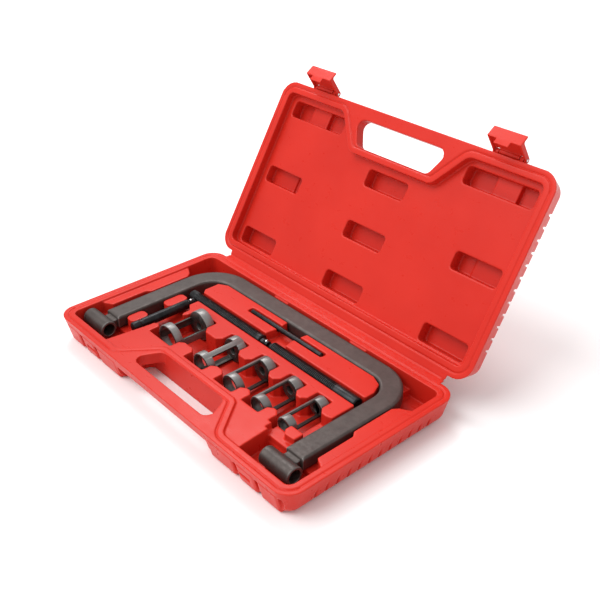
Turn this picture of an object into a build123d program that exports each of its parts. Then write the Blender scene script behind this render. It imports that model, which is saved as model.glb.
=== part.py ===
"""Valve spring compressor kit: a C-frame, two spindles, an extension rod, a tommy bar
and five cage adapters in a blow-moulded two-half case with snap latches.

Row frame: origin at the centre of the base's underside, +X along the hinge, +Y towards
the hinge, +Z up.  Each case half has its own plane whose local x runs along the hinge,
local y is the distance v from the hinge axis and local z points out of the tray.
All sizes are in millimetres.
"""
import os
from math import cos, pi, radians, sin, tan

from build123d import *

# ---------------------------------------------------------------- case halves
CASE_W = 370.0          # rim, along the hinge
CASE_D = 205.2          # rim, across
HALF_H = 29.0           # height of one half, rim to outer face
RIM_R = 18.0            # plan radius of the rim's corners
HINGE_GAP = 5.3         # back edge of a rim to the hinge axis
SEAM = 0.15             # each rim stays this far from the plane of the hinge axis
LID_OPEN = 121.5        # lid angle at rest, from closed
WALL_DRAFT = 14.0
WALL_UNDER_R = 13.0     # radius that carries the wall into the outer face

RIB_PITCH = 12.36       # vertical ribs on the two end walls
RIB_COUNT = 12
RIB_CUT = 2.4
RIB_DEPTH = 2.2
RIB_TOP = -9.5          # the cuts start this far below the rim

PAD_SPANS = [(75.0, 111.5), (115.5, 140.5), (144.5, 170.0)]   # front wall pads, |x|
PAD_GAPS = [(111.5, 115.5), (140.5, 144.5), (170.0, 173.6)]
PAD_GAP_V = 203.2       # how far in the gaps between the pads reach
PAD_TOP = -8.0
PAD_FOOT_INSET = 6.5
PAD_R = 4.0

INNER_INSET = 12.0      # rim edge to the inside of the bead
BEAD_W = 5.2
GROOVE_W = 1.8
GROOVE_D = 1.2
INNER_R = 7.0

HANDLE_FAR = 168.5      # handle opening, distances from the hinge axis
HANDLE_NEAR = 197.0
HANDLE_FAR_HALF = 49.0
HANDLE_NEAR_HALF = 63.5
HANDLE_R = 8.0
GRIP_T = 12.0           # depth of the handle bar
GRIP_R = 5.0
GRIP_HALF = 73.0        # half the length of the space under the bar
DETOUR_FAR = 160.8      # the bead's way round the handle
DETOUR_FAR_HALF = 57.0
DETOUR_NEAR_HALF = 86.0
DETOUR_R = 12.0

HINGE_HALF = 163.0      # hinge flanges and web
FLANGE_T = 1.4
FLANGE_STOP = 0.9       # the lid's flange stops short of the axis
WEB_R = 0.55

# ---------------------------------------------------------------- latches
LATCH_X = 124.5
LATCH_W = 38.0
LATCH_T = 2.2
PIVOT_V = 213.2         # in the lid's own plane
PIVOT_Z = -4.5
EAR_R = 3.2
LUG_R = 2.4
LUG_IN = 12.0           # lugs, from the latch's centre
LUG_OUT = 16.4
PIN_R = 1.2
PIN_PLAY = 0.05
LATCH_LEN = 22.6        # pivot to the underside of the tab
TAB_LEN = 6.5
TAB_T = 1.6
EAR_V = 211.2           # how far in the ears and the tab's lip reach when shut
BARREL_HALF = 11.4
NOSE_HALF = 8.0
NOSE_V = 205.8
NOTCH_HALF = 8.7        # notch in the base's front wall that takes the nose
NOTCH_TOP = -15.7
NOTCH_LOW = -19.4
NOTCH_V = 204.8
LATCH_REST = 26.0       # from shut

# ---------------------------------------------------------------- lid inside
PANEL_Z = -9.0
POCKET_LX = 55.0
POCKET_LV = 18.6
POCKET_R = 4.0
POCKET_FLOOR = -23.0
POCKET_SIDE_X = 138.5
POCKET_SIDE_V = (29.0, 104.3)
POCKET_MID_V = (29.3, 86.3, 143.5)
STEP_POCKET = (84.0, 166.0, 173.6, 192.0)
STEP_SPAN = (115.0, 143.0)
STEP_RISE = 6.0
SIDE_STEPS = ((-166.0, -127.0), (129.0, 166.0))
SIDE_STEP_RISE = 2.5
BORDER_INSET = 24.0     # shallow panel on the lid's outer face
BORDER_D = 0.8

# ---------------------------------------------------------------- tray in the base
LAND_Z = -2.0
CHANNEL_Z = -15.8
POCKET_Z = -23.0
BOSS_POCKET_Z = -21.0
TROUGH_Z = -23.6
DEEP_TROUGH_Z = -25.5
LEDGE_Z = -9.0
FINGER_Z = -12.0
SLOT_Z = -7.4
CHANNEL_OUT = 161.5
CHANNEL_GRIP = 157.5
TROUGH_FRONT = 156.0
NOTCH_BACK = 96.6
BLOCK_FRONT = 115.0
TRAY_R = 2.4

# ---------------------------------------------------------------- C-frame
FRAME_HALF = 156.0
FRAME_BACK = 19.4
FRAME_BAR = 22.0
FRAME_T = 14.0
FRAME_TOP = -1.3
FRAME_R = 46.0
ARM_END = 168.0
WEB_W = 16.0
WEB_T = 9.0
BOSS_X = (-150.8, 141.4)
BOSS_V = 180.5
BOSS_Z = -9.8
BOSS_R = 9.0
BOSS_L = 37.5
BORE_R = 6.4
FORGE_R = 2.6

# ---------------------------------------------------------------- spindles, rod, bar
SPINDLE_V = 78.4
SPINDLE_Z = -7.0
SPINDLE_R = 6.5
PEG_R = 4.0
LONG_SPAN = (-127.0, 2.6)
SHORT_SPAN = (5.6, 129.0)
GROOVE_PITCH = 4.0
ROD_X = -114.5
ROD_V = (85.8, 163.0)
ROD_Z = -6.0
ROD_R = 5.2
BAR_HALF = 54.0
BAR_V = 54.0
BAR_Z = -4.0
BAR_R = 2.8

BALL_R = 1.6
BALL_PLAY = 0.06
BALL_PROUD = 0.6
SPRING_L = 2.4
SPRING_R = 1.2
SPRING_WIRE = 0.2
SPRING_TURNS = 4

# ---------------------------------------------------------------- cage adapters
ADAPTERS = [            # name, x, z, outer radius, turn about its own axis, bar share
    ("adapter_a", -75.3, -8.8, 15.9, 0.0, 0.5),
    ("adapter_b", -18.3, -10.2, 12.8, 68.0, 0.48),
    ("adapter_c", 28.4, -9.5, 12.0, -63.0, 0.5),
    ("adapter_d", 69.2, -9.3, 10.6, -62.0, 0.5),
    ("adapter_e", 105.6, -9.0, 8.7, -60.0, 0.54),
]
ADAPTER_V = (98.6, 146.4)
ADAPTER_WALL = 2.6
ADAPTER_RING = 8.6
ADAPTER_DISC = 9.6
ADAPTER_HOLE = 4.3

# ---------------------------------------------------------------- tray areas, (x, v)
FINGER_X = (-133.4, -120.2)
FINGER_SPANS = ((138.5, 159.5), (88.5, 114.5))
FINGER_TOP = -3.5
BACK_PADS = ((-60.0, -38.0), (56.0, 79.0))
TONGUES = ((-56.5, -33.5), (-3.0, 15.5), (42.5, 57.5), (81.5, 96.0))
LEDGE_AREA = [(101, 149.6), (115.6, 149.6), (115.6, 145.5), (133.2, 145.5), (133.2, 163.5), (101, 163.5)]
LEDGE_BLOCK = [(115.6, 145.5), (131.5, 145.5), (131.5, 156.5), (120, 157.5), (115.6, 153)]

os.makedirs("parts", exist_ok=True)

HINGE_Y = CASE_D / 2 + HINGE_GAP
AXIS_Z = HALF_H + SEAM
REACH_V = HINGE_GAP + CASE_D
CENTRE_V = HINGE_GAP + CASE_D / 2
OPEN = radians(LID_OPEN)
INNER_SIDE = CASE_W / 2 - INNER_INSET
INNER_BACK = HINGE_GAP + INNER_INSET
INNER_FRONT = REACH_V - INNER_INSET

base_plane = Plane(origin=(0, HINGE_Y, HALF_H), x_dir=(-1, 0, 0), z_dir=(0, 0, 1))
lid_normal = Vector(0, -sin(OPEN), -cos(OPEN))
lid_origin = Vector(0, HINGE_Y, AXIS_Z) - lid_normal * SEAM
lid_plane = Plane(origin=lid_origin, x_dir=(1, 0, 0), z_dir=lid_normal)


def save(piece, name):
    piece.part.label = name
    export_step(piece.part, f"parts/{name}.step")


def inner_outline(grow=0.0):
    """Sketch of the inside of the bead, which runs round the handle."""
    with BuildSketch(Plane.XY) as outline:
        with BuildLine():
            Polyline(
                (INNER_SIDE, INNER_BACK), (INNER_SIDE, INNER_FRONT),
                (DETOUR_NEAR_HALF, INNER_FRONT), (DETOUR_FAR_HALF, DETOUR_FAR),
                (-DETOUR_FAR_HALF, DETOUR_FAR), (-DETOUR_NEAR_HALF, INNER_FRONT),
                (-INNER_SIDE, INNER_FRONT), (-INNER_SIDE, INNER_BACK), close=True,
            )
        make_face()
        corners = outline.vertices()
        fillet([v for v in corners if abs(v.X) > INNER_SIDE - 1], INNER_R)
        turns = [v for v in outline.vertices() if abs(v.X) < DETOUR_NEAR_HALF + 1]
        fillet(turns, DETOUR_R)
        if grow:
            offset(amount=grow)
    return outline.sketch


def wall_section(plane, path):
    """Section through the outer wall at the start of the rim path."""
    start = path @ 0
    out = (path % 0).cross(plane.z_dir)
    if out.dot(start - plane.from_local_coords(Vector(0, CENTRE_V, 0))) < 0:
        out = -out
    draft = radians(WALL_DRAFT)
    mid = (draft + pi / 2) / 2
    straight = HALF_H - WALL_UNDER_R * (1 - sin(draft))
    inset = straight * tan(draft)
    arc_mid = (
        -inset - WALL_UNDER_R * (cos(draft) - cos(mid)),
        -straight - WALL_UNDER_R * (sin(mid) - sin(draft)),
    )
    arc_end = (-inset - WALL_UNDER_R * cos(draft), -HALF_H)
    back = -RIM_R + 0.1
    with BuildSketch(Plane(origin=start, x_dir=out, z_dir=out.cross(plane.z_dir))) as section:
        with BuildLine():
            Line((back, 0), (0, 0))
            Line((0, 0), (-inset, -straight))
            ThreePointArc((-inset, -straight), arc_mid, arc_end)
            Line(arc_end, (back, -HALF_H))
            Line((back, -HALF_H), (back, 0))
        make_face()
    return section


def front_pads(plane):
    """Upright pads on the front wall, either side of the handle."""
    foot = REACH_V - PAD_FOOT_INSET
    root = REACH_V - RIM_R
    pads = []
    for low, high in PAD_SPANS:
        for side in (-1, 1):
            centre = plane.from_local_coords(Vector(side * (low + high) / 2, 0, 0))
            with BuildPart() as pad:
                with BuildSketch(Plane(origin=centre, x_dir=plane.y_dir, z_dir=plane.x_dir)):
                    with BuildLine():
                        Polyline(
                            (root, PAD_TOP + 3), (REACH_V - 1.5, PAD_TOP), (foot, -HALF_H),
                            (root, -HALF_H), close=True,
                        )
                    make_face()
                extrude(amount=(high - low) / 2, both=True)
                foot_edge = (pad.edges().filter_by(Axis.X)).sort_by(
                    lambda e: (plane.to_local_coords(e @ 0.5) - Vector(0, foot, -HALF_H)).length
                )[0]
                fillet(foot_edge, PAD_R)
                face_edges = [
                    e for e in pad.edges()
                    if plane.to_local_coords(e @ 0.5).Y > root + 1
                    and abs((e % 0.5).dot(plane.x_dir)) < 0.1
                    and plane.to_local_coords(e @ 0.5).Z > -HALF_H + 0.5
                    and plane.to_local_coords(e @ 0.5).Z < PAD_TOP - 0.1
                ]
                fillet(face_edges, PAD_R - 1.0)
            pads.append(pad.part)
    return pads


def rib_cut(plane, side):
    """One rib cut on an end wall, at mid depth of the case."""
    draft = radians(WALL_DRAFT)
    straight = HALF_H - WALL_UNDER_R * (1 - sin(draft))
    hub_inset = straight * tan(draft) + WALL_UNDER_R * cos(draft)
    hub_z = -HALF_H + WALL_UNDER_R
    reach = WALL_UNDER_R - RIB_DEPTH
    mid = (draft + pi / 2) / 2
    start = (-hub_inset + reach * cos(draft), hub_z - reach * sin(draft))
    middle = (-hub_inset + reach * cos(mid), hub_z - reach * sin(mid))
    end = (-hub_inset, hub_z - reach)
    out = plane.x_dir * side
    origin = plane.from_local_coords(Vector(side * CASE_W / 2, CENTRE_V, 0))
    with BuildPart() as cut:
        with BuildSketch(Plane(origin=origin, x_dir=out, z_dir=out.cross(plane.z_dir))):
            with BuildLine():
                ThreePointArc(start, middle, end)
                Polyline(
                    end, (-hub_inset, -HALF_H - 2), (2, -HALF_H - 2), (2, RIB_TOP),
                    (RIB_TOP * tan(draft), RIB_TOP), start,
                )
            make_face()
        extrude(amount=RIB_CUT / 2, both=True)
    return cut.part


def rib_places(plane):
    first = -(RIB_COUNT - 1) / 2 * RIB_PITCH
    return [plane.y_dir * (first + i * RIB_PITCH) for i in range(RIB_COUNT)]


def half_shell(plane):
    """One case half as a block: rounded outer wall, ribs, front pads, handle, bead."""
    with BuildSketch(plane) as rim:
        with Locations((0, CENTRE_V)):
            RectangleRounded(CASE_W, CASE_D, RIM_R)
    path = rim.sketch.wires()[0]
    section = wall_section(plane, path)
    pads = front_pads(plane)
    cuts = [rib_cut(plane, side) for side in (-1, 1)]
    with BuildPart() as shell:
        sweep(section.sketch, path=path)
        with BuildSketch(plane):
            with Locations((0, CENTRE_V)):
                Rectangle(CASE_W - 2 * RIM_R + 0.4, CASE_D - 2 * RIM_R + 0.4)
        extrude(amount=-HALF_H)
        add(pads)
        with Locations(*rib_places(plane)):
            add(cuts, mode=Mode.SUBTRACT)
        with BuildSketch(plane.offset(PAD_TOP - 1)):
            for low, high in PAD_GAPS:
                for side in (-1, 1):
                    with Locations((side * (low + high) / 2, PAD_GAP_V + 10)):
                        Rectangle(high - low, 20)
        extrude(amount=-HALF_H, mode=Mode.SUBTRACT)
        with BuildSketch(plane):
            with BuildLine():
                Polyline(
                    (HANDLE_FAR_HALF, HANDLE_FAR), (HANDLE_NEAR_HALF, HANDLE_NEAR),
                    (-HANDLE_NEAR_HALF, HANDLE_NEAR), (-HANDLE_FAR_HALF, HANDLE_FAR), close=True,
                )
            face = make_face()
            fillet(face.vertices(), HANDLE_R)
        extrude(amount=-HALF_H, mode=Mode.SUBTRACT)
        with BuildSketch(plane.offset(-GRIP_T)):
            with Locations((0, HANDLE_FAR + 30)):
                space = Rectangle(2 * GRIP_HALF, 60)
            fillet(space.vertices(), HANDLE_R)
        extrude(amount=-HALF_H, mode=Mode.SUBTRACT)
        with BuildSketch(plane):
            add(inner_outline(INNER_INSET - 4.5))
            add(inner_outline(INNER_INSET - 4.5 - GROOVE_W), mode=Mode.SUBTRACT)
        extrude(amount=-GROOVE_D, mode=Mode.SUBTRACT)
    return shell.part


def flange(plane, stop):
    """Flange that carries the living hinge along the back of one half."""
    with BuildPart() as strip:
        with BuildSketch(plane):
            with Locations((0, (stop + HINGE_GAP + 3) / 2)):
                Rectangle(2 * HINGE_HALF, HINGE_GAP + 3 - stop)
        extrude(amount=-FLANGE_T)
    return strip.part


def land(points, radius=TRAY_R):
    """Sketch of one raised area of the tray, corners rounded; points are (x, v)."""
    with BuildSketch(Plane.XY) as area:
        with BuildLine():
            Polyline(*[(x, HINGE_Y - v) for x, v in points], close=True)
        face = make_face()
        fillet(face.vertices(), radius)
    return area.sketch


def spine_island():
    """Raised area between the C-frame's spine and the spindles."""
    return land([
        (-121.5, 48), (-111, 42), (113, 42), (125, 47), (130.5, 59), (130.5, 71), (-117, 71),
        (-121.5, 66),
    ])


def cage_island():
    """Outline of the raised area behind the adapters, notched for their discs."""
    points = [(132, 85.5), (132, 113), (126, BLOCK_FRONT)]
    for name, x, z, radius, turn, share in reversed(ADAPTERS):
        half = radius + 0.9
        points += [
            (x + half + 5, BLOCK_FRONT), (x + half, 109.5), (x + half, NOTCH_BACK),
            (x - half, NOTCH_BACK), (x - half, 109.5), (x - half - 5, BLOCK_FRONT),
        ]
    return points[:-1] + [(-95.5, BLOCK_FRONT), (-98, 111), (-98, 103), (-107, 97), (-107, 85.5)]


def front_land():
    """Outline of the raised area in front of the adapters, a tongue between rings."""
    points = [(-110, 204), (-103, 152), (-102.6, 144.5), (-98, 141.5), (-93.5, 144.5), (-93.2, TROUGH_FRONT)]
    for left, right in TONGUES:
        points += [
            (left, TROUGH_FRONT), (left, 145.5), (left + 5, 141.5), (right - 5, 141.5),
            (right, 145.5), (right, TROUGH_FRONT),
        ]
    return points + [(104.7, TROUGH_FRONT), (108, 204)]


def channel_points():
    right = [
        (INNER_SIDE, INNER_BACK), (INNER_SIDE, 52), (CHANNEL_OUT, 58.5), (CHANNEL_GRIP, 64),
        (CHANNEL_GRIP, 111), (CHANNEL_OUT, 116), (CHANNEL_OUT, 157), (INNER_SIDE, 163.5),
        (INNER_SIDE, INNER_FRONT),
    ]
    return right + [(-x, v) for x, v in reversed(right)]


def channel_outline():
    """Everything in the tray that lies below the land, seen from above."""
    with BuildSketch(Plane.XY) as outline:
        add(land(channel_points()))
        add(land(front_land(), 1.2), mode=Mode.SUBTRACT)
        add(land(cage_island(), 1.2), mode=Mode.SUBTRACT)
        add(spine_island(), mode=Mode.SUBTRACT)
        for low, high in FINGER_SPANS:
            finger = [(FINGER_X[0], low), (FINGER_X[1], low), (FINGER_X[1], high), (FINGER_X[0], high)]
            add(land(finger, 5.0), mode=Mode.SUBTRACT)
        add(land(LEDGE_AREA, 1.5), mode=Mode.SUBTRACT)
        for low, high in BACK_PADS:
            pad = [(low, 12), (high, 12), (high, 19), (low, 19)]
            add(land(pad, 1.0), mode=Mode.SUBTRACT)
    return outline.sketch & mirrored(inner_outline())


def mirrored(sketch):
    """Sketch given in (x, v) turned into the row's x and y."""
    return Location((0, HINGE_Y, 0), (0, 0, 180)) * sketch


def clip(area, points):
    """Part of a tray area inside a polygon."""
    return area & land(points, 1.0)


def cut_down(area, top, floor):
    """Cutter that takes a tray area from one level down to another."""
    with BuildPart() as cutter:
        with BuildSketch(Plane.XY.offset(HALF_H + top)):
            add(area)
        extrude(amount=floor - top)
    return cutter.part


def tray_cutters():
    channel = channel_outline()
    side = INNER_SIDE + 2
    cutters = [cut_down(channel, LAND_Z + 0.5, CHANNEL_Z)]
    for sign in (-1, 1):
        corner = [(sign * 137, 14), (sign * side, 14), (sign * side, 60), (sign * 137, 52)]
        cutters.append(cut_down(clip(channel, corner), CHANNEL_Z + 0.5, POCKET_Z))
    left = [(-side, 166.5), (-108, 166.5), (-108, 201), (-side, 201)]
    right = [(side, 164.5), (102, 164.5), (102, 201), (side, 201)]
    cutters.append(cut_down(clip(channel, left), CHANNEL_Z + 0.5, BOSS_POCKET_Z))
    cutters.append(cut_down(clip(channel, right), CHANNEL_Z + 0.5, BOSS_POCKET_Z))
    trough = [(-95, 94), (117, 94), (117, 149), (98, 158), (-95, 158)]
    cutters.append(cut_down(clip(channel, trough), CHANNEL_Z + 0.5, TROUGH_Z))
    big = [(-93, 94), (-57, 94), (-57, 158), (-93, 158)]
    cutters.append(cut_down(clip(channel, big), TROUGH_Z + 0.5, DEEP_TROUGH_Z))
    ledge = land(LEDGE_AREA, 1.5) - land(LEDGE_BLOCK, 1.5)
    cutters.append(cut_down(ledge, 0.5, LEDGE_Z))
    recess = land([(-12, 36), (20, 36), (17, 56), (20, 77), (-12, 77), (-9, 56)], 4.0)
    cutters.append(cut_down(recess & spine_island(), 0.5, FINGER_Z))
    low, high = FINGER_X
    fingers = land([(low - 0.4, 80), (high + 0.4, 80), (high + 0.4, 165), (low - 0.4, 165)], 1.0)
    cutters.append(cut_down(fingers, 0.5, FINGER_TOP))
    slot = land([(-57, BAR_V - 4), (57, BAR_V - 4), (57, BAR_V + 4), (-57, BAR_V + 4)], 2.0)
    cutters.append(cut_down(slot, 0.5, SLOT_Z))
    return cutters


def case_base():
    shell = half_shell(base_plane)
    strip = flange(base_plane, WEB_R)
    cutters = tray_cutters()
    with BuildPart() as base:
        add(shell)
        add(strip)
        with BuildSketch(base_plane):
            add(inner_outline())
        extrude(amount=LAND_Z, mode=Mode.SUBTRACT)
        add(cutters, mode=Mode.SUBTRACT)
        for sign in (-1, 1):
            with BuildSketch(Plane.XY.offset(HALF_H + NOTCH_LOW)):
                with Locations((sign * LATCH_X, HINGE_Y - NOTCH_V - 5)):
                    Rectangle(2 * NOTCH_HALF, 10)
            extrude(amount=NOTCH_TOP - NOTCH_LOW, mode=Mode.SUBTRACT)
    return base


def lug(centre_x):
    """One lug on the lid's front wall, bored for a latch pin."""
    width = LUG_OUT - LUG_IN
    origin = lid_plane.from_local_coords(Vector(centre_x, 0, 0))
    with BuildPart() as piece:
        with BuildSketch(Plane(origin=origin, x_dir=lid_plane.y_dir, z_dir=lid_plane.x_dir)):
            with BuildLine():
                Polyline(
                    (PIVOT_V, PIVOT_Z + LUG_R), (204, PIVOT_Z + LUG_R + 1), (204, PIVOT_Z - LUG_R - 2),
                    (PIVOT_V, PIVOT_Z - LUG_R),
                )
                ThreePointArc(
                    (PIVOT_V, PIVOT_Z - LUG_R), (PIVOT_V + LUG_R, PIVOT_Z), (PIVOT_V, PIVOT_Z + LUG_R),
                )
            make_face()
            with Locations((PIVOT_V, PIVOT_Z)):
                Circle(PIN_R, mode=Mode.SUBTRACT)
        extrude(amount=width / 2, both=True)
    return piece.part


def case_lid():
    shell = half_shell(lid_plane)
    strip = flange(lid_plane, FLANGE_STOP)
    lugs = []
    for sign in (-1, 1):
        for arm in (-1, 1):
            lugs.append(lug(sign * LATCH_X + arm * (LUG_IN + LUG_OUT) / 2))
    pockets = [(0.0, v) for v in POCKET_MID_V]
    for v in POCKET_SIDE_V:
        pockets += [(-POCKET_SIDE_X, v), (POCKET_SIDE_X, v)]
    low, high, near, far = STEP_POCKET
    with BuildPart() as lid:
        add(shell)
        add(strip)
        add(lugs)
        with BuildSketch(lid_plane):
            add(inner_outline())
        extrude(amount=PANEL_Z, mode=Mode.SUBTRACT)
        with BuildSketch(lid_plane.offset(PANEL_Z)):
            with Locations(*pockets):
                RectangleRounded(POCKET_LX, POCKET_LV, POCKET_R)
            for sign in (-1, 1):
                with Locations((sign * (low + high) / 2, (near + far) / 2)):
                    RectangleRounded(high - low, far - near, POCKET_R)
        extrude(amount=POCKET_FLOOR - PANEL_Z, mode=Mode.SUBTRACT)
        with BuildSketch(lid_plane.offset(POCKET_FLOOR)):
            for sign in (-1, 1):
                with Locations((sign * sum(STEP_SPAN) / 2, (near + far) / 2)):
                    Rectangle(STEP_SPAN[1] - STEP_SPAN[0], far - near)
        extrude(amount=STEP_RISE)
        with BuildSketch(lid_plane.offset(POCKET_FLOOR)):
            for start, end in SIDE_STEPS:
                with Locations(((start + end) / 2, POCKET_SIDE_V[1])):
                    Rectangle(end - start, POCKET_LV)
        extrude(amount=SIDE_STEP_RISE)
        with BuildSketch(lid_plane.offset(-HALF_H)):
            with Locations((0, (HINGE_GAP + HANDLE_FAR) / 2 + 2)):
                RectangleRounded(
                    CASE_W - 2 * BORDER_INSET, HANDLE_FAR - HINGE_GAP - 2 * BORDER_INSET + 8, 10,
                )
        extrude(amount=BORDER_D, mode=Mode.SUBTRACT)
    return lid


def living_hinge():
    with BuildPart() as web:
        with Locations(Location((0, HINGE_Y, AXIS_Z), (0, 90, 0))):
            Cylinder(WEB_R, 2 * HINGE_HALF)
    return web


def latch_plane(centre_x):
    """Plane of one latch: local x along the latch, local y inwards, at the pin."""
    rest = radians(LATCH_REST)
    out = lid_plane.y_dir
    up = lid_plane.z_dir
    along = up * cos(rest) + out * sin(rest)
    pivot = lid_plane.from_local_coords(Vector(centre_x, PIVOT_V, PIVOT_Z))
    return Plane(origin=pivot, x_dir=along, z_dir=lid_plane.x_dir)


def latch(centre_x):
    """Snap latch: plate, ears and barrel on the pin, square finger tab and a catch nose."""
    plane = latch_plane(centre_x)
    sign = 1 if plane.y_dir.dot(plane_outward()) > 0 else -1
    outer = sign * EAR_R
    inner = sign * (EAR_R - LATCH_T)
    deep = sign * (EAR_V - PIVOT_V)
    tip = sign * (EAR_R + TAB_LEN)
    nose = sign * (NOSE_V - PIVOT_V)
    tab = LATCH_LEN - TAB_T
    with BuildPart() as piece:
        with BuildSketch(plane):
            with BuildLine():
                Polyline(
                    (LUG_R + 0.5, outer), (tab - 1.2, outer), (tab, outer + sign * 1.2),
                    (tab + 0.4, tip), (LATCH_LEN, tip), (LATCH_LEN, deep), (tab, deep), (tab, inner),
                    (LUG_R + 0.5, inner), close=True,
                )
            make_face()
        extrude(amount=LATCH_W / 2, both=True)
        for side in (-1, 1):
            with BuildSketch(plane.offset(side * (LATCH_W - LATCH_T) / 2)):
                with BuildLine():
                    ThreePointArc((0, outer), (-EAR_R, 0), (0, -outer))
                    Polyline((0, -outer), (2.0, deep), (tab + 0.4, deep), (tab + 0.4, outer), (0, outer))
                make_face()
                Circle(PIN_R + PIN_PLAY, mode=Mode.SUBTRACT)
            extrude(amount=LATCH_T / 2, both=True)
        with BuildSketch(plane):
            with BuildLine():
                Polyline((0, outer), (4, outer), (4, inner), (0, inner), close=True)
            make_face()
            Circle(EAR_R)
            Circle(PIN_R + PIN_PLAY, mode=Mode.SUBTRACT)
        extrude(amount=BARREL_HALF, both=True)
        with BuildSketch(plane):
            with BuildLine():
                Polyline(
                    (tab, nose), (LATCH_LEN - 0.4, nose), (LATCH_LEN, deep), (tab, deep), close=True,
                )
            make_face()
        extrude(amount=NOSE_HALF, both=True)
    return piece


def plane_outward():
    """Outward direction of a latch plate at rest."""
    rest = radians(LATCH_REST)
    return lid_plane.y_dir * cos(rest) - lid_plane.z_dir * sin(rest)


def latch_pin(centre_x):
    plane = latch_plane(centre_x)
    with BuildPart() as pin:
        with BuildSketch(plane):
            Circle(PIN_R)
        extrude(amount=LATCH_W / 2, both=True)
    return pin


def turned(points, origin, direction):
    """Solid of revolution: points are (distance along the axis, radius)."""
    with BuildPart() as piece:
        with BuildSketch(Plane(origin=origin, x_dir=direction, z_dir=(0, 0, 1))):
            with BuildLine():
                Polyline((points[0][0], 0), *points, (points[-1][0], 0), close=True)
            make_face()
        revolve(axis=Axis(origin, direction))
    return piece


def c_frame():
    """Forged C: bar with rounded corners and a bored boss across each arm's end."""
    back = HINGE_Y - FRAME_BACK
    end = HINGE_Y - ARM_END
    inner = FRAME_HALF - FRAME_BAR
    top = HALF_H + FRAME_TOP
    boss_y = HINGE_Y - BOSS_V
    half = BOSS_L / 2
    profile = [(-half, BOSS_R - 0.8), (-half + 0.8, BOSS_R), (half - 0.8, BOSS_R), (half, BOSS_R - 0.8)]
    bosses = [turned(profile, (x, boss_y, HALF_H + BOSS_Z), (1, 0, 0)).part for x in BOSS_X]
    with BuildPart() as frame:
        with BuildSketch(Plane.XY.offset(top - FRAME_T)):
            with BuildLine():
                FilletPolyline(
                    (-FRAME_HALF, end), (-FRAME_HALF, back), (FRAME_HALF, back), (FRAME_HALF, end),
                    radius=FRAME_R,
                )
                Line((FRAME_HALF, end), (inner, end))
                FilletPolyline(
                    (inner, end), (inner, back - FRAME_BAR), (-inner, back - FRAME_BAR), (-inner, end),
                    radius=FRAME_R - FRAME_BAR,
                )
                Line((-inner, end), (-FRAME_HALF, end))
            make_face()
        extrude(amount=FRAME_T)
        fillet([e for e in frame.edges() if abs((e % 0.5).Z) < 0.1], FORGE_R)
        for sign in (-1, 1):
            with BuildSketch(Plane.XY.offset(HALF_H + BOSS_Z - WEB_T / 2 + 0.8)):
                with Locations((sign * (inner + FRAME_BAR / 2 - 0.5), (end + boss_y) / 2 + 2)):
                    Rectangle(WEB_W, end - boss_y + 8)
            extrude(amount=WEB_T)
        add(bosses)
        with Locations(*[Location((x, boss_y, HALF_H + BOSS_Z), (0, 90, 0)) for x in BOSS_X]):
            Cylinder(BORE_R, BOSS_L + 2, mode=Mode.SUBTRACT)
    return frame


def thread_points(start, end, radius):
    """Ring grooves that stand for a screw thread."""
    count = int((end - start) / GROOVE_PITCH)
    points = []
    for i in range(count):
        a = start + i * GROOVE_PITCH
        points += [(a, radius - 0.6), (a + 1.2, radius), (a + 2.6, radius), (a + 3.8, radius - 0.6)]
    return points


def ball_pocket(x, y, top):
    """Upright pocket for a detent ball and the spring under it."""
    depth = 2 * BALL_R - BALL_PROUD + SPRING_L + 0.1
    with BuildPart() as pocket:
        with Locations((x, y, top - depth)):
            Cylinder(BALL_R + BALL_PLAY, depth + 3, align=(Align.CENTER, Align.CENTER, Align.MIN))
    return pocket.part


def ball(x, y, top):
    with BuildPart() as piece:
        with Locations((x, y, top + BALL_PROUD - BALL_R)):
            Sphere(BALL_R)
    return piece


def ball_spring(x, y, top):
    low = top + BALL_PROUD - 2 * BALL_R - SPRING_L + SPRING_WIRE
    turn = (SPRING_L - 2 * SPRING_WIRE) / SPRING_TURNS
    with BuildPart() as coil:
        with BuildLine(Plane(origin=(x, y, low))) as path:
            Helix(turn, SPRING_L - 2 * SPRING_WIRE - 0.05, SPRING_R - SPRING_WIRE)
        with BuildSketch(Plane(origin=path.line @ 0, z_dir=path.line % 0)):
            Circle(SPRING_WIRE)
        sweep(path=path.line)
    return coil


def spindle_long():
    start, end = LONG_SPAN
    points = [(start, SPINDLE_R - 1), (start + 1, SPINDLE_R), (start + 9, SPINDLE_R)]
    points += thread_points(start + 9.5, -13.0, SPINDLE_R)
    points += [
        (-13.0, SPINDLE_R), (-8.5, SPINDLE_R), (-7.5, SPINDLE_R - 1), (-7.5, PEG_R),
        (end - 0.5, PEG_R), (end, PEG_R - 0.5),
    ]
    spindle = turned(points, SPINDLE_AT, (1, 0, 0))
    with BuildPart() as piece:
        add(spindle.part)
        add(ball_pocket(*LONG_BALL), mode=Mode.SUBTRACT)
    return piece


def spindle_short():
    start, end = SHORT_SPAN
    points = [(start, PEG_R - 0.5), (start + 0.5, PEG_R), (start + 3, PEG_R), (start + 3, SPINDLE_R - 1)]
    points += [(start + 4, SPINDLE_R)]
    points += thread_points(start + 4.5, 101.0, SPINDLE_R)
    points += [(101.5, SPINDLE_R), (end - 1, SPINDLE_R), (end, SPINDLE_R - 1)]
    return turned(points, SPINDLE_AT, (1, 0, 0))


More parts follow.
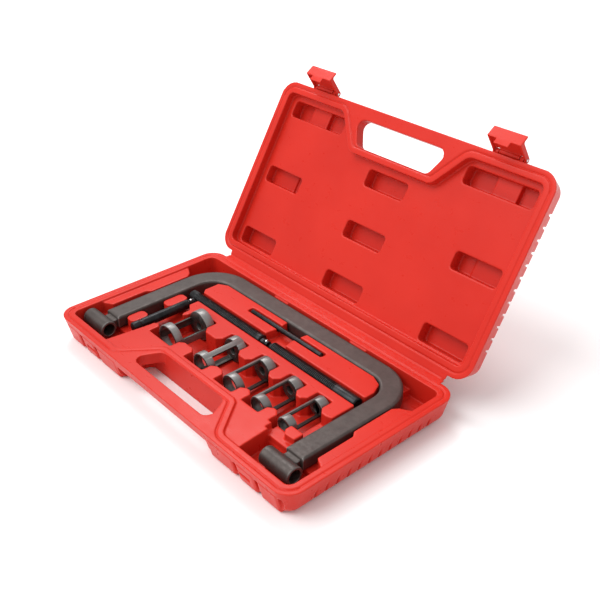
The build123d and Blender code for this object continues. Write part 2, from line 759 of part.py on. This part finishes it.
def extension_rod():
    start, end = ROD_V
    points = [
        (start, PEG_R - 0.4), (start + 0.4, PEG_R), (start + 8, PEG_R), (start + 8, ROD_R - 0.6),
        (start + 8.6, ROD_R), (end - 12, ROD_R), (end - 11.2, ROD_R - 0.8), (end - 8.8, ROD_R - 0.8),
        (end - 8, ROD_R), (end - 0.8, ROD_R), (end, ROD_R - 0.8),
    ]
    rod = turned(points, (ROD_X, HINGE_Y, HALF_H + ROD_Z), (0, -1, 0))
    with BuildPart() as piece:
        add(rod.part)
        add(ball_pocket(*ROD_BALL), mode=Mode.SUBTRACT)
    return piece


def tommy_bar():
    points = [
        (-BAR_HALF, BAR_R - 0.6), (-BAR_HALF + 0.6, BAR_R), (BAR_HALF - 0.6, BAR_R),
        (BAR_HALF, BAR_R - 0.6),
    ]
    return turned(points, (0, HINGE_Y - BAR_V, HALF_H + BAR_Z), (1, 0, 0))


def adapter(x, z, radius, turn, share):
    """Cage adapter: bored disc, two side bars and an open ring."""
    low, high = ADAPTER_V
    length = high - low
    plane = Plane(origin=(x, HINGE_Y - low, HALF_H + z), x_dir=(1, 0, 0), z_dir=(0, -1, 0))
    lift = radius + share * radius / 2
    across = (cos(radians(turn)), 0, sin(radians(turn)))
    window_at = plane.from_local_coords(Vector(0, 0, ADAPTER_DISC))
    with BuildPart() as cage:
        with BuildSketch(plane):
            Circle(radius)
            Circle(ADAPTER_HOLE, mode=Mode.SUBTRACT)
        extrude(amount=length)
        with BuildSketch(plane.offset(ADAPTER_DISC)):
            Circle(radius - ADAPTER_WALL)
        extrude(amount=length, mode=Mode.SUBTRACT)
        with BuildSketch(Plane(origin=window_at, x_dir=across, z_dir=(0, -1, 0))):
            with Locations((0, lift), (0, -lift)):
                Rectangle(2 * radius + 2, 2 * radius)
        extrude(amount=length - ADAPTER_DISC - ADAPTER_RING, mode=Mode.SUBTRACT)
    return cage


SPINDLE_AT = (0, HINGE_Y - SPINDLE_V, HALF_H + SPINDLE_Z)
LONG_BALL = (LONG_SPAN[1] - 3.6, HINGE_Y - SPINDLE_V, HALF_H + SPINDLE_Z + PEG_R)
ROD_BALL = (ROD_X, HINGE_Y - ROD_V[0] - 4.2, HALF_H + ROD_Z + PEG_R)

save(case_base(), "case_base")
save(case_lid(), "case_lid")
save(living_hinge(), "living_hinge")
for side, name in ((-1, "left"), (1, "right")):
    save(latch(side * LATCH_X), f"latch_{name}")
    save(latch_pin(side * LATCH_X), f"latch_pin_{name}")
save(c_frame(), "c_frame")
save(spindle_long(), "spindle_long")
save(spindle_short(), "spindle_short")
save(extension_rod(), "extension_rod")
save(tommy_bar(), "tommy_bar")
for name, x, z, radius, turn, share in ADAPTERS:
    save(adapter(x, z, radius, turn, share), name)
for place, name in ((LONG_BALL, "long"), (ROD_BALL, "rod")):
    save(ball(*place), f"detent_ball_{name}")
    save(ball_spring(*place), f"detent_spring_{name}")
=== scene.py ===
import math

import bpy
from mathutils import Matrix, Vector


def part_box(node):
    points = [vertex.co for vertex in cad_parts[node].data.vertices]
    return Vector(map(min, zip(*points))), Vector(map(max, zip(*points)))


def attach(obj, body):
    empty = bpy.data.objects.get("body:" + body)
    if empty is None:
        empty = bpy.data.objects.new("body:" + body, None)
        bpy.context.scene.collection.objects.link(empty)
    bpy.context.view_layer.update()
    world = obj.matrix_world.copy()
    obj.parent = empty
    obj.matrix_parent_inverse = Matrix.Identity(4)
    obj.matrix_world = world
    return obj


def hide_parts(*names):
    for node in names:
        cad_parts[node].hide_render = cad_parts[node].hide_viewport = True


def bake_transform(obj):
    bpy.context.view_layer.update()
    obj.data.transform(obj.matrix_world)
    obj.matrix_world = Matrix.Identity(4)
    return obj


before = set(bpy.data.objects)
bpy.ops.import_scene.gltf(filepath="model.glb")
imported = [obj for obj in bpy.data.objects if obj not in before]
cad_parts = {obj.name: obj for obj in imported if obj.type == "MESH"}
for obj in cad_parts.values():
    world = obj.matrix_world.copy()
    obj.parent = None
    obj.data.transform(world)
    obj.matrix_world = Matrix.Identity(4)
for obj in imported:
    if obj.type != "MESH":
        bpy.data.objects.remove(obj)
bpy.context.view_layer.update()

MM = 0.001
LID_OPEN = math.radians(121.5)
LATCH_REST = math.radians(26.0)
HINGE = Vector((0.0, 107.9 * MM, 29.15 * MM))


# ------------------------------------------------------------------ materials
class Shader:
    """A Principled material whose colour, roughness and bump come from object-space noise."""

    def __init__(self, name, metallic=0.0, **values):
        self.material = bpy.data.materials.new(name)
        self.material.use_nodes = True
        self.tree = self.material.node_tree
        self.bsdf = self.tree.nodes["Principled BSDF"]
        self.set("Metallic", metallic)
        for key, value in values.items():
            self.set(key.replace("_", " "), value)
        self.place = self.node("ShaderNodeTexCoord").outputs["Object"]

    def set(self, socket, value):
        self.bsdf.inputs[socket].default_value = value

    def node(self, kind, **values):
        made = self.tree.nodes.new(kind)
        for key, value in values.items():
            setattr(made, key, value)
        return made

    def link(self, a, b):
        self.tree.links.new(a, b)

    def noise(self, size, detail=3.0, rough=0.55, stretch=(1, 1, 1)):
        """Noise whose lumps are about this many metres across."""
        mapping = self.node("ShaderNodeMapping")
        mapping.inputs["Scale"].default_value = stretch
        self.link(self.place, mapping.inputs["Vector"])
        noise = self.node("ShaderNodeTexNoise")
        noise.inputs["Scale"].default_value = 1.0 / size
        noise.inputs["Detail"].default_value = detail
        noise.inputs["Roughness"].default_value = rough
        self.link(mapping.outputs["Vector"], noise.inputs["Vector"])
        return noise.outputs["Fac"]

    def spread(self, value, low, high, out_low, out_high):
        remap = self.node("ShaderNodeMapRange", clamp=True)
        remap.inputs["From Min"].default_value = low
        remap.inputs["From Max"].default_value = high
        remap.inputs["To Min"].default_value = out_low
        remap.inputs["To Max"].default_value = out_high
        self.link(value, remap.inputs["Value"])
        return remap.outputs["Result"]

    def edges(self, low, high):
        """1 on raised edges, 0 on flats and in hollows."""
        pointy = self.node("ShaderNodeNewGeometry").outputs["Pointiness"]
        return self.spread(pointy, low, high, 0.0, 1.0)

    def mix(self, factor, a, b):
        mix = self.node("ShaderNodeMix", data_type="RGBA")
        self.link(factor, mix.inputs["Factor"])
        for socket, value in ((mix.inputs["A"], a), (mix.inputs["B"], b)):
            if isinstance(value, tuple):
                socket.default_value = (*value, 1.0)
            else:
                self.link(value, socket)
        return mix.outputs["Result"]

    def times(self, a, b):
        product = self.node("ShaderNodeMath", operation="MULTIPLY")
        self.link(a, product.inputs[0])
        self.link(b, product.inputs[1])
        return product.outputs["Value"]

    def colour(self, value):
        self.link(value, self.bsdf.inputs["Base Color"])

    def roughness(self, value):
        self.link(value, self.bsdf.inputs["Roughness"])

    def bump(self, *layers):
        """Each layer is (height, strength, distance in metres)."""
        normal = None
        for height, strength, distance in layers:
            bump = self.node("ShaderNodeBump")
            bump.inputs["Strength"].default_value = strength
            bump.inputs["Distance"].default_value = distance
            self.link(height, bump.inputs["Height"])
            if normal is not None:
                self.link(normal, bump.inputs["Normal"])
            normal = bump.outputs["Normal"]
        self.link(normal, self.bsdf.inputs["Normal"])


def moulded_plastic():
    """Red blow-moulded polyethylene, satin, with a fine grain, soft flow marks and a painted highlight that
    lightens the raised edges.
    """
    m = Shader("red_polyethylene", Specular_IOR_Level=0.18)
    broad = m.noise(0.09, 2.0)
    tone = m.mix(m.spread(broad, 0.35, 0.65, 0.0, 1.0), (0.560, 0.0205, 0.0115), (0.610, 0.0255, 0.0145))
    # painted highlight: raised edges are mixed towards a paler red to stand in for the light they catch
    painted_edge_highlight = m.mix(m.edges(0.515, 0.60), tone, (0.66, 0.045, 0.028))
    m.colour(painted_edge_highlight)
    m.roughness(m.spread(m.noise(0.012, 4.0, 0.6, (1, 2.4, 1)), 0.3, 0.7, 0.26, 0.37))
    m.bump(
        (m.noise(0.030, 2.0), 0.10, 0.0008),
        (m.noise(0.0011, 2.0), 0.16, 0.00012),
    )
    return m.material


def forged_steel():
    """Dark forged steel: mottled scale, paler on the edges, partly where they have been rubbed and partly as a
    painted highlight for the light they catch.
    """
    m = Shader("forged_dark_steel", metallic=0.55)
    mottle = m.noise(0.014, 6.0, 0.65)
    tone = m.mix(m.spread(mottle, 0.36, 0.66, 0.0, 1.0), (0.060, 0.048, 0.044), (0.082, 0.067, 0.061))
    # rubbed edges and painted highlight: patches along raised edges are mixed towards pale grey
    rubbed_and_highlit_edges = m.times(m.edges(0.512, 0.56), m.spread(m.noise(0.006, 4.0), 0.35, 0.6, 0.2, 0.8))
    m.colour(m.mix(rubbed_and_highlit_edges, tone, (0.34, 0.33, 0.32)))
    m.roughness(m.spread(m.noise(0.004, 5.0, 0.6), 0.3, 0.7, 0.36, 0.56))
    m.bump(
        (m.noise(0.011, 5.0, 0.6), 0.22, 0.0006),
        (m.noise(0.0013, 3.0), 0.30, 0.00012),
    )
    return m.material


def turned_steel():
    """Grey turned steel with fine tool rings and bright rubbed edges."""
    m = Shader("turned_grey_steel", metallic=0.75)
    stain = m.noise(0.009, 4.0)
    tone = m.mix(m.spread(stain, 0.35, 0.65, 0.0, 1.0), (0.052, 0.046, 0.043), (0.080, 0.072, 0.067))
    m.colour(m.mix(m.edges(0.52, 0.58), tone, (0.48, 0.47, 0.46)))
    rings = m.noise(0.0011, 2.0, 0.5, (0.06, 1.6, 0.06))
    m.roughness(m.spread(m.noise(0.003, 4.0), 0.3, 0.7, 0.34, 0.50))
    m.bump((rings, 0.24, 0.00010), (m.noise(0.0008, 2.0), 0.10, 0.00006))
    return m.material


def black_steel():
    """Black-oxide steel with an oily sheen, greyer where it is handled."""
    m = Shader("black_oxide_steel", metallic=0.70)
    cloud = m.noise(0.010, 4.0)
    tone = m.mix(m.spread(cloud, 0.35, 0.65, 0.0, 1.0), (0.009, 0.009, 0.010), (0.022, 0.022, 0.024))
    m.colour(m.mix(m.edges(0.54, 0.66), tone, (0.13, 0.127, 0.125)))
    m.roughness(m.spread(m.noise(0.003, 4.0), 0.3, 0.7, 0.24, 0.42))
    m.bump((m.noise(0.0009, 3.0), 0.16, 0.00008))
    return m.material


def bright_steel(name, tint, low, high):
    """Drawn or polished steel for pins, springs and balls."""
    m = Shader(name, metallic=1.0)
    m.colour(m.mix(m.spread(m.noise(0.002, 3.0), 0.3, 0.7, 0.0, 1.0), tint, tuple(c * 1.15 for c in tint)))
    m.roughness(m.spread(m.noise(0.0012, 3.0), 0.3, 0.7, low, high))
    m.bump((m.noise(0.0006, 2.0), 0.06, 0.00004))
    return m.material


def floor_material():
    m = Shader("studio_floor", Roughness=0.9, Specular_IOR_Level=0.1)
    m.colour(m.mix(m.spread(m.noise(0.8, 1.0), 0.3, 0.7, 0.0, 1.0), (0.93, 0.93, 0.93), (0.95, 0.95, 0.95)))
    return m.material


RED = moulded_plastic()
FORGED = forged_steel()
TURNED = turned_steel()
BLACK = black_steel()
PIN = bright_steel("drawn_pin_steel", (0.55, 0.54, 0.53), 0.22, 0.34)
BALL = bright_steel("polished_ball_steel", (0.80, 0.80, 0.80), 0.06, 0.14)


# ------------------------------------------------------------------ mesh tools
def paint(obj, material):
    obj.data.materials.clear()
    obj.data.materials.append(material)


def new_object(name, mesh):
    obj = bpy.data.objects.new(name, mesh)
    bpy.context.scene.collection.objects.link(obj)
    return obj


def apply_modifiers(obj):
    """Replaces the object's mesh by what its modifiers make of it."""
    depsgraph = bpy.context.evaluated_depsgraph_get()
    final = bpy.data.meshes.new_from_object(obj.evaluated_get(depsgraph))
    old = obj.data
    obj.modifiers.clear()
    obj.data = final
    bpy.data.meshes.remove(old)


def shade_smooth(mesh):
    mesh.polygons.foreach_set("use_smooth", [True] * len(mesh.polygons))


def finish_piece(obj, node, body, material):
    paint(obj, material)
    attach(obj, body)
    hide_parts(node)
    return obj


def copy_of(node, name, turn=None):
    """A free copy of a CAD node's mesh, turned back into its own square frame if asked."""
    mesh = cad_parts[node].data.copy()
    mesh.name = name
    if turn is not None:
        mesh.transform(turn.inverted())
    obj = new_object(name, mesh)
    weld = obj.modifiers.new("weld", "WELD")
    weld.merge_threshold = 0.01 * MM
    return obj


def softened(node, name, voxel, passes, keep, turn=None):
    """Copy with all its edges rounded over, as moulding or forging leaves them."""
    obj = copy_of(node, name, turn)
    remesh = obj.modifiers.new("remesh", "REMESH")
    remesh.mode = "VOXEL"
    remesh.voxel_size = voxel * 1.0
    smooth = obj.modifiers.new("smooth", "SMOOTH")
    smooth.factor = 0.5
    smooth.iterations = passes
    fewer = obj.modifiers.new("fewer", "DECIMATE")
    fewer.ratio = keep
    apply_modifiers(obj)
    shade_smooth(obj.data)
    even = obj.modifiers.new("even", "WEIGHTED_NORMAL")
    even.weight = 100
    even.keep_sharp = False
    apply_modifiers(obj)
    if turn is not None:
        obj.data.transform(turn)
    return obj


def bevelled(node, name, width, turn=None):
    """Copy with a narrow bevel on its sharp edges, as machined parts have."""
    obj = copy_of(node, name, turn)
    flat = obj.modifiers.new("flat", "DECIMATE")
    flat.decimate_type = "DISSOLVE"
    flat.angle_limit = math.radians(0.5)
    bevel = obj.modifiers.new("bevel", "BEVEL")
    bevel.width = width
    bevel.segments = 2
    bevel.limit_method = "ANGLE"
    bevel.angle_limit = math.radians(35)
    bevel.use_clamp_overlap = False
    bevel.harden_normals = True
    apply_modifiers(obj)
    shade_smooth(obj.data)
    return obj


def lathe(name, stations, place, segments=56):
    """Closed turned mesh; stations are (distance, radius or a function of the angle)."""
    verts, faces = [], []
    for distance, radius in stations:
        for k in range(segments):
            angle = 2 * math.pi * k / segments
            r = radius(angle) if callable(radius) else radius
            verts.append(place @ Vector((distance, r * math.cos(angle), r * math.sin(angle))))
    for i in range(len(stations) - 1):
        for k in range(segments):
            a, b = i * segments + k, i * segments + (k + 1) % segments
            faces.append((a, b, b + segments, a + segments))
    faces.append(tuple(reversed(range(segments))))
    last = (len(stations) - 1) * segments
    faces.append(tuple(range(last, last + segments)))
    mesh = bpy.data.meshes.new(name)
    mesh.from_pydata([v[:] for v in verts], [], faces)
    mesh.update()
    for polygon in mesh.polygons:
        polygon.use_smooth = len(polygon.vertices) == 4
    return new_object(name, mesh)


def rounded(points, r=0.35):
    """Stations through the points, every corner broken by a small two-step round."""
    out = [points[0]]
    for before, here, after in zip(points, points[1:], points[2:]):
        a = Vector(before) - Vector(here)
        b = Vector(after) - Vector(here)
        cut = min(r, a.length / 2.2, b.length / 2.2)
        start, end = Vector(here) + a.normalized() * cut, Vector(here) + b.normalized() * cut
        middle = (start + end) / 4 + Vector(here) / 2
        out += [tuple(start), tuple(middle), tuple(end)]
    return out + [points[-1]]


def thread(start, end, radius, pitch, depth, steps=8):
    """Stations of a right-hand screw thread that runs out at both ends."""
    stations = []
    count = int((end - start) / pitch * steps)
    for i in range(count + 1):
        d = start + (end - start) * i / count
        run = min(1.0, (d - start) / pitch, (end - d) / pitch)

        def profile(angle, d=d, run=run):
            phase = (d / pitch - angle / (2 * math.pi)) % 1.0
            valley = max(0.0, min(1.0, 2.6 * abs(phase - 0.5) - 0.25))
            return (radius - depth * run * (1.0 - valley)) * MM

        stations.append((d * MM, profile))
    return stations


def in_metres(points):
    return [(d * MM, r * MM) for d, r in points]


# ------------------------------------------------------------------ case
def turned_about_hinge(angle):
    return (
        Matrix.Translation(HINGE)
        @ Matrix.Rotation(angle, 4, "X")
        @ Matrix.Translation(-HINGE)
    )


lid_turn = turned_about_hinge(-LID_OPEN)
latch_turn = turned_about_hinge(-LID_OPEN + LATCH_REST)

base = softened("case_base", "base_moulding", 0.72 * MM, 3, 0.25)
finish_piece(base, "case_base", "base", RED)
lid = softened("case_lid", "lid_moulding", 0.72 * MM, 3, 0.25, lid_turn)
finish_piece(lid, "case_lid", "lid", RED)
for side, body in (("left", "latch_l"), ("right", "latch_r")):
    latch = softened(f"latch_{side}", f"snap_latch_{side}", 0.42 * MM, 3, 0.35, latch_turn)
    finish_piece(latch, f"latch_{side}", body, RED)


def hinge_web():
    """Thin web of the living hinge, from the base's flange round to the lid's."""
    low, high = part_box("living_hinge")
    half = (high.x - low.x) / 2 - 1.0 * MM
    lid_way = Vector((0, -math.cos(LID_OPEN), math.sin(LID_OPEN)))
    lid_side = Vector((0, -math.sin(LID_OPEN), -math.cos(LID_OPEN)))
    line = [
        (HINGE + Vector((0, -3.2, -0.85)) * MM, Vector((0, 0, 1))),
        (HINGE + Vector((0, -1.2, -0.80)) * MM, Vector((0, 0, 1))),
        (HINGE + Vector((0, -0.2, -0.45)) * MM, Vector((0, -0.5, 0.9))),
        (HINGE + Vector((0, 0.15, 0.0)) * MM, Vector((0, -1, 0.55))),
        (HINGE + (lid_way * 0.35 - lid_side * 0.45) * MM, lid_side),
        (HINGE + (lid_way * 1.3 - lid_side * 0.80) * MM, lid_side),
        (HINGE + (lid_way * 3.2 - lid_side * 0.85) * MM, lid_side),
    ]
    verts, faces = [], []
    columns = 64
    for i in range(columns + 1):
        x = -half + 2 * half * i / columns
        ring = [p + n.normalized() * 0.35 * MM for p, n in line]
        ring += [p - n.normalized() * 0.35 * MM for p, n in reversed(line)]
        verts += [(x, p.y, p.z) for p in ring]
    size = 2 * len(line)
    for i in range(columns):
        for k in range(size):
            a, b = i * size + k, i * size + (k + 1) % size
            faces.append((a, a + size, b + size, b))
    faces.append(tuple(range(size)))
    faces.append(tuple(reversed(range(columns * size, (columns + 1) * size))))
    mesh = bpy.data.meshes.new("hinge_web")
    mesh.from_pydata(verts, [], faces)
    mesh.update()
    shade_smooth(mesh)
    web = new_object("hinge_web", mesh)
    paint(web, RED)
    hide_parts("living_hinge")
    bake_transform(web)
    return web


hinge_web()

# ------------------------------------------------------------------ tools
c_frame = softened("c_frame", "forged_c_frame", 0.62 * MM, 3, 0.30)
finish_piece(c_frame, "c_frame", "frame", FORGED)
for letter in "abcde":
    cage = bevelled(f"adapter_{letter}", f"cage_adapter_{letter}", 0.45 * MM)
    finish_piece(cage, f"adapter_{letter}", f"adapter_{letter}_body", TURNED)


def axis_of(node):
    low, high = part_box(node)
    return (low + high) / 2, low, high


def long_spindle():
    centre, low, high = axis_of("spindle_long")
    place = Matrix.Translation((0, centre.y, centre.z))
    start, end = low.x / MM, high.x / MM
    r = (high.y - low.y) / 2 / MM
    stations = in_metres(rounded([(start, r - 1.2), (start, r - 1.0), (start + 1.0, r), (start + 9.0, r), (start + 9.4, r)]))
    stations += thread(start + 9.6, end - 15.8, r, 2.0, 0.95)
    stations += in_metres(rounded([
        (end - 15.6, r), (end - 11.1, r), (end - 10.1, r - 1.0), (end - 10.1, 4.0), (end - 6.4, 4.0),
        (end - 5.9, 3.7), (end - 5.2, 3.7), (end - 4.7, 4.0), (end - 0.5, 4.0), (end, 3.5),
    ]))
    return lathe("threaded_spindle_long", stations, place)


def short_spindle():
    centre, low, high = axis_of("spindle_short")
    place = Matrix.Translation((0, centre.y, centre.z))
    start, end = low.x / MM, high.x / MM
    r = (high.y - low.y) / 2 / MM
    stations = in_metres(rounded([
        (start, 3.5), (start + 0.5, 4.0), (start + 3.0, 4.0), (start + 3.0, r - 1.0), (start + 4.0, r), (start + 4.4, r),
    ]))
    stations += thread(start + 4.6, 101.0, r, 2.0, 0.95)
    stations += in_metres(rounded([(101.4, r), (end - 1.0, r), (end, r - 1.0), (end, r - 1.2)]))
    return lathe("threaded_spindle_short", stations, place)


def rod():
    centre, low, high = axis_of("extension_rod")
    start, end = low.y / MM, high.y / MM
    r = (high.x - low.x) / 2 / MM
    place = Matrix.Translation((centre.x, 0, centre.z)) @ Matrix.Rotation(math.pi / 2, 4, "Z")
    stations = in_metres(rounded([
        (start, r - 0.9), (start, r - 0.8), (start + 0.8, r), (start + 8.0, r), (start + 8.8, r - 0.8),
        (start + 11.2, r - 0.8), (start + 12.0, r), (end - 8.6, r), (end - 8.0, r - 0.6), (end - 8.0, 4.0),
        (end - 0.4, 4.0), (end, 3.6),
    ]))
    return lathe("drive_extension", stations, place)


def bar():
    centre, low, high = axis_of("tommy_bar")
    start, end = low.x / MM, high.x / MM
    r = (high.y - low.y) / 2 / MM
    place = Matrix.Translation((0, centre.y, centre.z))
    stations = in_metres(rounded([
        (start, r - 0.7), (start, r - 0.6), (start + 0.6, r), (end - 0.6, r), (end, r - 0.6), (end, r - 0.7),
    ]))
    return lathe("cross_bar", stations, place, 40)


finish_piece(long_spindle(), "spindle_long", "long_spindle", BLACK)
finish_piece(short_spindle(), "spindle_short", "short_spindle", BLACK)
finish_piece(rod(), "extension_rod", "rod", BLACK)
finish_piece(bar(), "tommy_bar", "bar", BLACK)
for name in ("latch_pin_left", "latch_pin_right", "detent_spring_long", "detent_spring_rod"):
    paint(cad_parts[name], PIN)
for name in ("detent_ball_long", "detent_ball_rod"):
    paint(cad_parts[name], BALL)


# ------------------------------------------------------------------ studio
def studio_floor():
    size = 6.0
    mesh = bpy.data.meshes.new("floor")
    mesh.from_pydata([(-size, -size, 0), (size, -size, 0), (size, size, 0), (-size, size, 0)], [], [(0, 1, 2, 3)])
    floor = new_object("floor", mesh)
    floor.location.z = -0.2 * MM
    paint(floor, floor_material())


def softbox(name, spot, aim, size, watts):
    data = bpy.data.lights.new(name, "AREA")
    data.shape = "DISK"
    data.size = size
    data.energy = watts
    light = bpy.data.objects.new(name, data)
    bpy.context.scene.collection.objects.link(light)
    light.location = spot
    light.rotation_mode = "QUATERNION"
    light.rotation_quaternion = (Vector(aim) - Vector(spot)).to_track_quat("-Z", "Y")


def sun(name, towards, strength, spread):
    """Light from a far, wide source, so that the floor stays evenly bright."""
    data = bpy.data.lights.new(name, "SUN")
    data.energy = strength
    data.angle = math.radians(spread)
    light = bpy.data.objects.new(name, data)
    bpy.context.scene.collection.objects.link(light)
    light.rotation_mode = "QUATERNION"
    light.rotation_quaternion = (-Vector(towards)).to_track_quat("-Z", "Y")


def studio_light():
    world = bpy.data.worlds.new("studio")
    world.use_nodes = True
    bpy.context.scene.world = world
    background = world.node_tree.nodes["Background"]
    background.inputs["Color"].default_value = (1.0, 1.0, 1.0, 1.0)
    background.inputs["Strength"].default_value = 0.76
    sun("key", (-0.42, -0.66, 1.05), 1.75, 44.0)
    softbox("glint", (-0.9, 0.5, 1.3), (0.0, 0.0, 0.05), 0.7, 9.0)
    view = bpy.context.scene.view_settings
    view.view_transform = "Standard"
    view.look = "None"


def camera():
    data = bpy.data.cameras.new("camera")
    data.sensor_width = 36.0
    data.lens = 53.03
    data.clip_start = 0.01
    data.clip_end = 20.0
    cam = bpy.data.objects.new("camera", data)
    bpy.context.scene.collection.objects.link(cam)
    right = Vector((0.65886, 0.75224, -0.00641)).normalized()
    forward = Vector((-0.64274, 0.55848, -0.52439))
    forward = (forward - right * forward.dot(right)).normalized()
    up = right.cross(forward)
    turn = Matrix((right, up, -forward)).transposed()
    cam.matrix_world = Matrix.Translation(Vector((571.45, -423.14, 522.27)) * MM) @ turn.to_4x4()
    bpy.context.scene.camera = cam


studio_floor()
studio_light()
camera()
